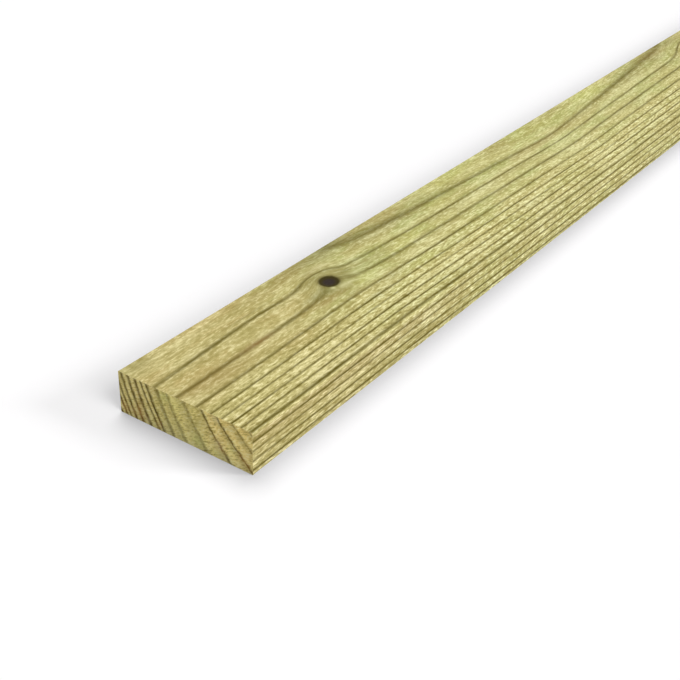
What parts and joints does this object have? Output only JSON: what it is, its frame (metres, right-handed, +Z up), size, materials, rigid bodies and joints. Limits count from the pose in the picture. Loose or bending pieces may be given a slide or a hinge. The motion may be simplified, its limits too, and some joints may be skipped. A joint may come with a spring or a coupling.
{
  "type": "wooden batten",
  "caption": "Straight planed softwood batten of flat rectangular section, pressure treated to a pale green, with eased arrises, square-cut ends and a small dead knot in its upper face.",
  "frame": {"origin": "centre of the underside, at the middle of the length", "axes": "+X along the grain, away from the end that the picture shows; +Y across the face, towards the edge with the knot; +Z up, out of the upper face"},
  "size_m": [1.8, 0.07, 0.02],
  "materials": {
    "treated_pine": "planed bare softwood, pressure treated to a pale yellow green, with dark olive growth rings"
  },
  "bodies": {
    "root": {"batten": "treated_pine"}
  },
  "joints": []
}
